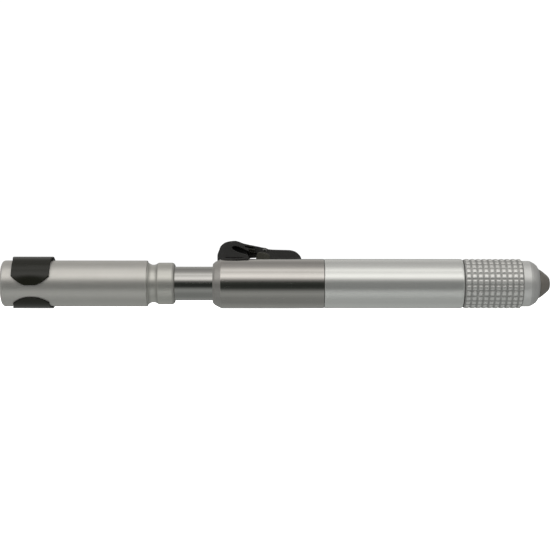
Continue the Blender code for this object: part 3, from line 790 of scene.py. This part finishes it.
# ---------------------------------------------------------------- bracket: spine
def bracket_spine():
    """Flat bar behind the pump, wider at both ends, with slots, pockets and screw holes."""
    left, right = span("bracket_spine")
    wide_left, wide_right, narrow = 6.5, 9.2, 5.4  # half heights
    outline = (
        arc(left + 1.5, -5.0, 1.5, 180, 270, 6)
        + [(-41.0, -wide_left), (-38.5, -narrow), (22.5, -narrow), (26.5, -wide_right)]
        + arc(right - 2.0, -7.2, 2.0, 270, 360, 6)
        + arc(right - 2.0, 7.2, 2.0, 0, 90, 6)
        + [(26.5, wide_right), (22.5, narrow), (-38.5, narrow), (-41.0, wide_left)]
        + arc(left + 1.5, 5.0, 1.5, 90, 180, 6)
    )
    spine = prism(outline, "Y", SPINE_FRONT, SPINE_BACK, "v_bracket_spine")
    before, beyond = SPINE_FRONT - 1, SPINE_BACK + 1
    cuts = []
    for x, recess in ((-32.0, 4.4), (32.0, 4.9)):
        # a through slot with a wider recess in front
        cuts.append(prism(stadium(x, 4.7, 2.7), "Y", before, beyond))
        cuts.append(prism(stadium(x, 6.9, recess), "Y", before, SPINE_FRONT + 2.6))
    # shallow pockets in the back: (left, right, end radius)
    for start, end, radius in (
        (-24.5, -13.6, 2.1), (-10.4, -6.0, 2.0), (6.0, 10.4, 2.0), (13.6, 22.5, 2.1),
    ):
        pocket = stadium((start + end) / 2, (end - start) / 2, radius)
        cuts.append(prism(pocket, "Y", SPINE_BACK - 1.2, beyond))
    cuts.append(drill(CLIP_SCREW_X, 0, [(before, 1.7)], beyond))
    cuts.append(prism(hexagon(CLIP_SCREW_X, 0, 3.4), "Y", SPINE_FRONT + 1.7, beyond))
    for _, x, z in LATCH_SCREWS:
        cuts.append(drill(x, z, [(before, 1.2), (SPINE_FRONT + 2.4, 1.8)], beyond, 24))
    combine(spine, cuts)
    bevelled(spine, 0.22, angle=50)
    finish_piece(spine, NYLON, "bracket", "bracket_spine", sharp=40)
    even = spine.modifiers.new("even", "WEIGHTED_NORMAL")
    even.keep_sharp, even.weight = True, 100


# ---------------------------------------------------------------- bracket: clip
CLIP_INNER = 9.46
CLIP_OUTER = 10.5
CLIP_SHIFT_Y, CLIP_SHIFT_Z = 0.3, 0.42  # centre of the outer circle


def clip_outer(angle, y, z, side):
    """The clip's outer radius in the direction (y, z)."""
    along = y * CLIP_SHIFT_Y + z * CLIP_SHIFT_Z
    shift_squared = CLIP_SHIFT_Y * CLIP_SHIFT_Y + CLIP_SHIFT_Z * CLIP_SHIFT_Z
    outer = along + math.sqrt(CLIP_OUTER**2 - shift_squared + along * along)
    degrees = math.degrees(angle)
    if degrees < 70:
        # the upper lobe's front is pressed nearly flat, with a fine ridge above
        flat = (9.95 + 0.5 * (abs(side) / 0.8) ** 2.5) / math.cos(angle)
        gap = outer - flat
        outer -= 0.5 * (gap + math.sqrt(gap * gap + 0.09))
        outer += 0.045 * math.exp(-(((degrees - 44.5) / 2.4) ** 2)) * smooth((side + 0.35) / 0.4)
    return outer


def clip_ring():
    """An open ring round the handle, ending in two rounded lobes at the front."""
    width_steps, round_steps, layers = 44, 300, 4
    centre_x = middle("handle_clip")
    grid = []
    for i in range(width_steps + 1):
        # side runs from -1 at the left edge to 1 at the right
        side = math.sin(math.pi / 2 * (2 * i / width_steps - 1))
        # degrees from the front over the top
        start = -3.9 + 21.8 * max(0.0, (abs(side) - 0.25) / 0.75) ** 1.6
        end = 324.7 - (20.5 if side < 0 else 17.5) * abs(side) ** 2.4
        row = []
        for j in range(round_steps + 1):
            part = j / round_steps
            part -= 0.018 * math.sin(2 * math.pi * part)
            angle = math.radians(start + (end - start) * part)
            y, z = -math.cos(angle), math.sin(angle)
            # narrower low at the front, wider over the back
            half = 7.66 - 0.34 * smooth((-z - 0.21) / 0.5) * smooth(-y / 0.3)
            half += 0.55 * smooth((y + 0.52) / 0.5)
            x = centre_x + half * side + 0.06
            # ends and sides thin out to a rounded lip
            edge = min(1.0, (1 - abs(side)) / 0.05, min(j, round_steps - j) / 3.0)
            lip = math.sqrt(max(0.0, 1 - (1 - edge) ** 2))
            thick = clip_outer(angle, y, z, side) - CLIP_INNER
            column = []
            for k in range(layers + 1):
                offset = (k / layers - 0.5) * thick * (0.68 + 0.32 * lip)
                radius = CLIP_INNER + thick / 2 + offset
                column.append(Vector((x, AXIS_Y + radius * y, AXIS_Z + radius * z)) * MM)
            row.append(column)
        grid.append(row)

    solid = bmesh.new()
    verts = {}

    def face(*corners):
        for i, j, k in corners:
            if (i, j, k) not in verts:
                verts[i, j, k] = solid.verts.new(grid[i][j][k])
        solid.faces.new([verts[corner] for corner in corners])

    for i in range(width_steps):
        for j in range(round_steps):
            for k in (0, layers):
                face((i, j, k), (i + 1, j, k), (i + 1, j + 1, k), (i, j + 1, k))
    for k in range(layers):
        for i in range(width_steps):
            for j in (0, round_steps):
                face((i, j, k), (i + 1, j, k), (i + 1, j, k + 1), (i, j, k + 1))
        for j in range(round_steps):
            for i in (0, width_steps):
                face((i, j, k), (i, j + 1, k), (i, j + 1, k + 1), (i, j, k + 1))
    return mesh_object(solid, "v_handle_clip")


def handle_clip():
    """The ring with its foot against the spine; the edges at the front are painted darker and duller,
    painted shade.
    """
    clip = clip_ring()
    left, right = span("handle_clip")
    left, right = left + 1.2, right - 1.2
    base = SPINE_FRONT - 0.2
    foot = [
        (left + 1, 9.9), (left, 12.5), (left - 0.6, base),
        (right + 0.6, base), (right, 12.5), (right - 1, 9.9),
    ]
    combine(clip, [prism(foot, "Z", -4.6, 4.6)], "UNION")
    combine(clip, [drill(CLIP_SCREW_X, 0, [(9.0, 3.0), (11.2, 1.7)], 16.0)])
    finish_piece(clip, CLIP, "bracket", "handle_clip", sharp=38)
    clip.data.materials.append(CLIP_SHADED_EDGE)
    # painted shade: side walls near the front take the darker edge material
    for face in clip.data.polygons:
        spot = face.center / MM - Vector((0, AXIS_Y, AXIS_Z))
        if spot.y < 1.0:
            spot.x = 0
            if abs(face.normal.dot(spot.normalized())) < 0.55:
                face.material_index = 1


# ---------------------------------------------------------------- bracket: latch and lever
def paint_light_on_front(obj, x_range, y_range):
    """Front faces within these limits take a paler material: painted light on the lit front faces."""
    obj.data.materials.append(PAINTED_LIGHT_NYLON)
    for face in obj.data.polygons:
        spot = face.center / MM
        inside = x_range[0] < spot.x < x_range[1] and y_range[0] < spot.y - AXIS_Y < y_range[1]
        if inside and face.normal.y < -0.35:
            face.material_index = 1


# (x, z) outlines seen from the front
LATCH_BLOCK = (
    [(40.4, 8.3), (40.4, 11.4), (40.55, 12.1), (40.95, 12.65), (41.6, 12.95), (42.5, 13.05)]
    + arc(HINGE_X, HINGE_Z, HINGE_RADIUS, 196, 66, 10)
    + [(45.4, 14.15)]
    + curve_through([
        (46.3, 14.05), (47.6, 13.97), (50.4, 13.9), (53.4, 13.82), (54.8, 13.72), (56.2, 13.32),
        (57.1, 12.85), (57.9, 12.15), (58.6, 11.3), (59.05, 10.3), (59.25, 8.9),
    ])
    + [(59.3, 8.3)]
)
LATCH_CHEEK = [
    (40.5, 8.4), (40.5, 11.3), (40.9, 12.3), (41.7, 12.8),
    (43.0, 12.75), (45.2, 12.2), (46.0, 11.2), (46.0, 8.4),
]
LEVER = (
    [(24.5, 8.9)]
    + curve_through([
        (24.5, 9.4), (24.48, 10.6), (24.5, 11.6), (24.63, 12.25), (24.93, 12.95), (25.3, 13.8),
        (25.68, 14.85), (26.1, 15.5), (26.6, 15.98), (27.4, 16.58), (28.2, 16.94), (29.1, 17.18),
        (30.0, 17.34), (31.2, 17.47), (32.3, 17.45), (33.5, 17.12), (34.8, 16.6), (36.0, 16.24),
        (37.3, 15.98), (38.5, 15.78), (39.8, 15.55), (41.1, 15.32), (42.3, 15.02),
    ])
    + arc(HINGE_X, HINGE_Z, HINGE_RADIUS, 88, -150, 14)
    + [(41.9, 12.4), (41.0, 11.6), (40.5, 10.75), (40.1, 10.62), (38.4, 10.58), (37.8, 10.46)]
    + [(37.45, 10.12), (37.3, 8.9)]
)
# a slanting channel that runs down from the head's middle towards the arm's web
LEVER_HOLLOW = curve_through([
    (30.45, 14.9), (31.2, 15.25), (32.4, 15.3), (34.0, 14.75), (35.4, 14.1), (36.9, 13.3), (38.2, 12.6),
], 3) + curve_through([
    (38.2, 11.0), (36.9, 11.75), (34.7, 12.4), (33.3, 12.85), (32.0, 13.35), (30.9, 13.95),
], 3)
LEVER_WINDOW = [
    (36.55, 12.95), (38.4, 12.75), (41.6, 12.3), (41.6, 10.0), (38.0, 10.0), (37.55, 10.7), (36.9, 11.75),
]


def latch_base():
    """Plate behind the barrel with a hinge block on top."""
    left, right = span("latch_base")
    latch = box((left, right - 0.5), (11.9, 15.3), (-8.6, 8.6), "v_latch_base")
    # the hinge end's front cheek stands a little proud of the block
    parts = [prism(LATCH_BLOCK, "Y", 8.2, 17.8), prism(LATCH_CHEEK, "Y", 7.75, 9.0)]
    combine(latch, parts, "UNION")
    channel = [
        (11.0, -3.2), (12.8, -3.2), (12.8, -5.4), (16.0, -5.4),
        (16.0, 5.4), (12.8, 5.4), (12.8, 3.2), (11.0, 3.2),
    ]
    tools = [
        # fine step low on the block's front
        prism([(47.0, 10.7), (58.8, 10.7), (58.5, 11.05), (47.0, 11.05)], "Y", 8.0, 8.6),
        # T-shaped channel along the plate
        prism(channel, "X", 28.2, 61.0),
        # gap between the hinge cheeks
        box((40.0, 47.0), (10.6, 15.4), (10.0, 16.0)),
        # step under the block's back
        box((40.0, 60.5), (15.3, 18.5), (8.0, 9.5)),
        # pin hole
        drill(HINGE_X, HINGE_Z, [(7.0, 0.72)], 19.0, 24),
    ]
    tools += [drill(x, z, [(12.9, 1.2)], 16.0, 20) for _, x, z in LATCH_SCREWS]
    combine(latch, tools)
    soften(latch, 0.15)
    finish_piece(latch, NYLON, "bracket", "latch_base", sharp=60)
    # painted light: the hinge cheek's front is painted paler
    paint_light_on_front(latch, (40.3, 47.2), (7.5, 8.1))


def cam_lever():
    """Lever over the barrel: a broad head at the left, an arm and a hinge tongue at the right."""
    front, back = 3.6, 17.8
    lever = prism(LEVER, "Y", front, back, "v_cam_lever")
    plan = (
        arc(24.4 + 4.0, front + 4.0, 4.0, 180, 270, 10)
        + [(46.0, front), (46.0, back)]
        + arc(24.4 + 3.0, back - 3.0, 3.0, 90, 180, 8)
    )
    combine(lever, [prism(plan, "Z", 8.0, 18.0)], "INTERSECT")
    barrel_room = [(20.0, 0), (20.0, 10.35), (50.0, 10.35), (50.0, 0)]
    tools = [
        placed(turned_bmesh(barrel_room, 96), 0, 0),
        # the arm starts behind the head's front
        box((37.4, 50.0), (2.0, 8.4), (7.0, 20.0)),
        # either side of the hinge tongue
        box((40.0, 50.0), (7.5, 10.9), (7.0, 20.0)),
        box((40.0, 50.0), (15.1, 19.0), (7.0, 20.0)),
        # low on the head's back
        box((24.0, 38.8), (15.2, 18.5), (8.0, 9.6)),
        # pin hole
        drill(HINGE_X, HINGE_Z, [(7.0, 0.75)], 19.0, 24),
        prism(LEVER_HOLLOW, "Y", 2.0, 8.0),
        # the web between the arm's top strip and the hinge lies back from the head
        prism([(37.3, 13.9), (41.2, 13.3), (41.2, 10.0), (37.3, 10.0)], "Y", 7.0, 9.3),
        prism(LEVER_WINDOW, "Y", 2.0, 11.6),
        # groove under the arm's top strip
        prism([(35.9, 15.42), (41.9, 14.5), (41.9, 13.95), (35.9, 14.8)], "Y", 2.0, 10.2),
        # parting line low on the head
        prism([(27.8, 10.2), (35.2, 10.2), (35.2, 10.72), (27.8, 10.72)], "Y", 3.0, 4.8),
    ]
    combine(lever, tools)
    soften(lever, 0.13)
    finish_piece(lever, NYLON, "lever", "cam_lever", sharp=60)
    # painted light: the lever web's front is painted paler
    paint_light_on_front(lever, (36.9, 42.0), (8.2, 9.6))


def lever_pad():
    """Curved pad under the lever's head."""
    outline = [
        (radius * math.sin(math.radians(t)), radius * math.cos(math.radians(t)))
        for radius, angles in ((10.3, range(20, 51, 2)), (11.6, range(50, 19, -2)))
        for t in angles
    ]
    pad = prism(outline, "X", 26.0, 36.6, "v_lever_pad")
    bevelled(pad, 0.15)
    finish_piece(pad, RUBBER, "lever", "lever_pad")


def lever_pin():
    """Hinge pin with a dished front end."""
    profile = [
        (7.84, 0), (7.84, 0.66), (7.87, 0.78), (7.94, 0.88), (8.03, 0.94), (8.1, 0.94),
        (8.12, 0.62), (17.6, 0.62), (17.85, 0.58), (17.95, 0.42), (17.95, 0),
    ]
    pin = bar(profile, HINGE_X, HINGE_Z, 40, "v_lever_pin")
    finish_piece(pin, PIN, "bracket", "lever_pin")


# ---------------------------------------------------------------- shoe and screws
def barrel_shoe():
    """Saddle behind the barrel with a T-shaped foot."""
    outline = arc(0, 0, 10.2, -32, 32, 32) + [
        (11.6, 5.4), (11.6, 2.9), (13.1, 2.9), (13.1, 5.0), (15.1, 5.0),
        (15.1, -5.0), (13.1, -5.0), (13.1, -2.9), (11.6, -2.9), (11.6, -5.4),
    ]
    shoe = prism(outline, "X", *span("barrel_shoe"), "v_barrel_shoe")
    combine(shoe, [drill(x, z, [(9.0, 1.35), (13.4, 2.55)], 16.0) for _, x, z in SHOE_SCREWS])
    bevelled(shoe, 0.18, angle=45)
    finish_piece(shoe, NYLON, "barrel", "barrel_shoe", sharp=40)


# (y, radius) profiles, heads at the back
SHOE_SCREW = [
    (9.1, 0), (9.1, 1.1), (13.6, 1.1), (13.6, 2.2), (13.7, 2.3), (14.5, 2.3), (14.8, 2.1),
    (14.9, 1.7), (14.9, 0),
]
LATCH_SCREW = [
    (13.2, 0), (13.2, 0.95), (18.2, 0.95), (18.2, 1.55), (18.3, 1.6), (19.3, 1.6), (19.5, 1.45),
    (19.6, 1.1), (19.6, 0),
]


def screws(places, body, profile, socket, segments):
    """Screws along Y with rounded heads and hexagon sockets."""
    top = profile[-1][0]
    for node, x, z in places:
        made = bar(profile, x, z, segments, "v_" + node)
        combine(made, [prism(hexagon(x, z, socket), "Y", top - 0.9, top + 0.5)])
        finish_piece(made, STEEL, body, node, sharp=40)


def clip_nut():
    nut = prism(hexagon(CLIP_SCREW_X, 0, 3.15), "Y", 17.4, 19.5, "v_clip_nut")
    combine(nut, [drill(CLIP_SCREW_X, 0, [(17.0, 1.6)], 20.0)])
    bevelled(nut, 0.15)
    finish_piece(nut, STEEL, "bracket", "clip_nut")


# CAD nodes that stay as they are, by material
KEPT = (
    (RUBBER, ("end_cap_oring", "return_bumper", "piston_oring", "rod_wiper", "head_oring", "collar_oring")),
    (STEEL, ("rod_lock_ring", "piston_washer", "piston_screw", "check_ball", "clip_screw")),
    (LINER, ("rod_end_plug", "cylinder_liner")),
    (ACETAL, ("piston", "head_base")),
)


def dress_kept_nodes():
    for look, names in KEPT:
        for name in names:
            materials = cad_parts[name].data.materials
            materials.clear()
            materials.append(look)


# ---------------------------------------------------------------- studio
# (degrees from the camera side over the top, brightness): 0 camera side, 90 top, 180 back
BANDS = [
    (-180, 0.10), (-168, 0.14), (-150, 0.30), (-125, 0.30), (-100, 0.235), (-73, 0.24),
    (-50, 0.32), (-40, 0.29), (-30, 0.15), (-21, 0.04), (-8, 0.029), (5, 0.044), (12, 0.14),
    (19, 0.36), (27, 0.85), (35, 1.12), (45, 1.0), (53, 0.74), (60, 0.80), (67, 0.92),
    (76, 0.62), (88, 0.40), (112, 0.30), (124, 0.34), (142, 0.47), (158, 0.36), (170, 0.12),
    (180, 0.10),
]


def band_colour(angle, level):
    """Slightly warm; the red is stronger from above, and the darkest bands are greener."""
    red = 1.02 if 10 < angle < 150 else 0.97
    dim = 1.0 if level > 0.06 else 0.93
    return (level * red * dim, level, level * 0.97 * dim, 1)


def surroundings():
    """Bands of light round the pump for reflections; plain white for the camera."""
    world = bpy.data.worlds.new("studio")
    scene.world = world
    world.use_nodes = True
    world.node_tree.nodes.clear()
    graph = Graph(world.node_tree)
    out = graph.node("ShaderNodeOutputWorld")
    coord = graph.node("ShaderNodeTexCoord")
    split = graph.node("ShaderNodeSeparateXYZ")
    graph.feed(split, {0: coord.outputs["Generated"]})
    x, y, z = split.outputs
    turn = graph.math("ARCTAN2", z, graph.math("MULTIPLY", y, -1.0))
    where = graph.math("ADD", graph.math("DIVIDE", turn, 2 * math.pi), 0.5)
    ramp = graph.node("ShaderNodeValToRGB")
    graph.feed(ramp, {0: where})
    fill_ramp(ramp, [((angle + 180) / 360, band_colour(angle, level)) for angle, level in BANDS])
    # towards the pump's two ends the surroundings are an even mid grey
    side = graph.math("POWER", graph.math("ABSOLUTE", x), 4.0)
    mix = graph.node("ShaderNodeMix", data_type="RGBA")
    graph.feed(mix, {"Factor": side, "A": ramp.outputs["Color"], "B": (0.28, 0.28, 0.275, 1)})
    banded = graph.node("ShaderNodeBackground")
    graph.feed(banded, {"Color": mix.outputs["Result"], "Strength": 1.0})
    plain = graph.node("ShaderNodeBackground")
    graph.feed(plain, {"Color": (1, 1, 1, 1), "Strength": 1.05})
    path = graph.node("ShaderNodeLightPath")
    pick = graph.node("ShaderNodeMixShader")
    graph.feed(
        pick, {0: path.outputs["Is Camera Ray"], 1: banded.outputs[0], 2: plain.outputs[0]}
    )
    graph.feed(out, {0: pick.outputs[0]})


def floor_material():
    """Pale, with a glow that weakens as the view turns down onto the floor."""
    mat = bpy.data.materials.new("floor_pale")
    mat.use_nodes = True
    mat.node_tree.nodes.clear()
    graph = Graph(mat.node_tree)
    out = graph.node("ShaderNodeOutputMaterial")
    diffuse = graph.node("ShaderNodeBsdfDiffuse")
    graph.feed(diffuse, {"Color": (0.92, 0.92, 0.915, 1)})
    glow = graph.node("ShaderNodeEmission")
    view = graph.node("ShaderNodeNewGeometry").outputs["Incoming"]
    steepness = graph.node("ShaderNodeVectorMath", operation="DOT_PRODUCT")
    graph.feed(steepness, {0: view, 1: (0, 0, 1)})
    grade = graph.node("ShaderNodeMapRange")
    graph.feed(grade, {
        "Value": steepness.outputs["Value"], "From Min": 0.16, "From Max": 0.30,
        "To Min": 1.1, "To Max": 0.36,
    })
    graph.feed(glow, {"Strength": grade.outputs[0]})
    both = graph.node("ShaderNodeAddShader")
    graph.feed(both, {0: diffuse.outputs[0], 1: glow.outputs[0]})
    graph.feed(out, {0: both.outputs[0]})
    return mat


def studio_floor():
    """Seen by the camera only: takes soft shadows without changing the metal's reflections."""
    grid = bmesh.new()
    bmesh.ops.create_grid(grid, x_segments=2, y_segments=2, size=6.0)
    mesh = bpy.data.meshes.new("floor")
    grid.to_mesh(mesh)
    grid.free()
    floor = bpy.data.objects.new("floor", mesh)
    scene.collection.objects.link(floor)
    floor.location = (0, 0, cad_box[0].z - 0.0004)
    floor.visible_glossy = False
    floor.visible_diffuse = False
    floor.visible_transmission = False
    floor.visible_shadow = False
    mesh.materials.append(floor_material())


def softbox(name, where, target, size, watts):
    """An area light, in metres, that shows neither to the camera nor in reflections."""
    data = bpy.data.lights.new(name, "AREA")
    data.shape = "RECTANGLE"
    data.size, data.size_y = size
    data.energy = watts
    made = bpy.data.objects.new(name, data)
    scene.collection.objects.link(made)
    made.location = Vector(where)
    made.rotation_mode = "QUATERNION"
    made.rotation_quaternion = (target - Vector(where)).to_track_quat("-Z", "Y")
    made.visible_glossy = False
    made.visible_camera = False


def lights():
    centre = (cad_box[0] + cad_box[1]) / 2
    x = centre.x
    softbox("softbox_top", (x, -0.25, 0.75), centre, size=(1.1, 0.5), watts=2.7)
    softbox("softbox_left", (x - 0.6, -0.55, 0.35), centre, size=(0.5, 0.5), watts=1.0)
    # light coming back up from the pale floor
    softbox("bounce_low", (x, -0.42, -0.5), centre, size=(1.1, 0.4), watts=2.75)


def studio_camera():
    half_view, distance, tilt = math.radians(10.2), 622.0, -0.0006
    data = bpy.data.cameras.new("camera")
    data.sensor_width = 36.0
    data.lens = 18.0 / math.tan(half_view)
    data.clip_start, data.clip_end = 0.01, 50
    camera = bpy.data.objects.new("camera", data)
    scene.collection.objects.link(camera)
    camera.location = Vector((48.2, AXIS_Y - distance, AXIS_Z + 3.5)) * MM
    camera.rotation_euler = (math.radians(90), tilt, 0)
    scene.camera = camera


# ---------------------------------------------------------------- build
handle_tube()
end_cap()
handle_collar()
plunger_rod()
front_sleeve()
rod_guide()
seam_ring()
barrel_tube()
knurled_collar()
nose_cap()
dust_plug()
valve_gland()
thrust_washer()
bracket_spine()
handle_clip()
latch_base()
cam_lever()
lever_pad()
lever_pin()
barrel_shoe()
screws(SHOE_SCREWS, "barrel", SHOE_SCREW, socket=1.1, segments=32)
screws(LATCH_SCREWS, "bracket", LATCH_SCREW, socket=0.75, segments=28)
clip_nut()
dress_kept_nodes()

scene.view_settings.view_transform = "Standard"
scene.view_settings.look = "None"
scene.view_settings.exposure = 0.0
scene.view_settings.gamma = 1.0
surroundings()
studio_floor()
lights()
studio_camera()
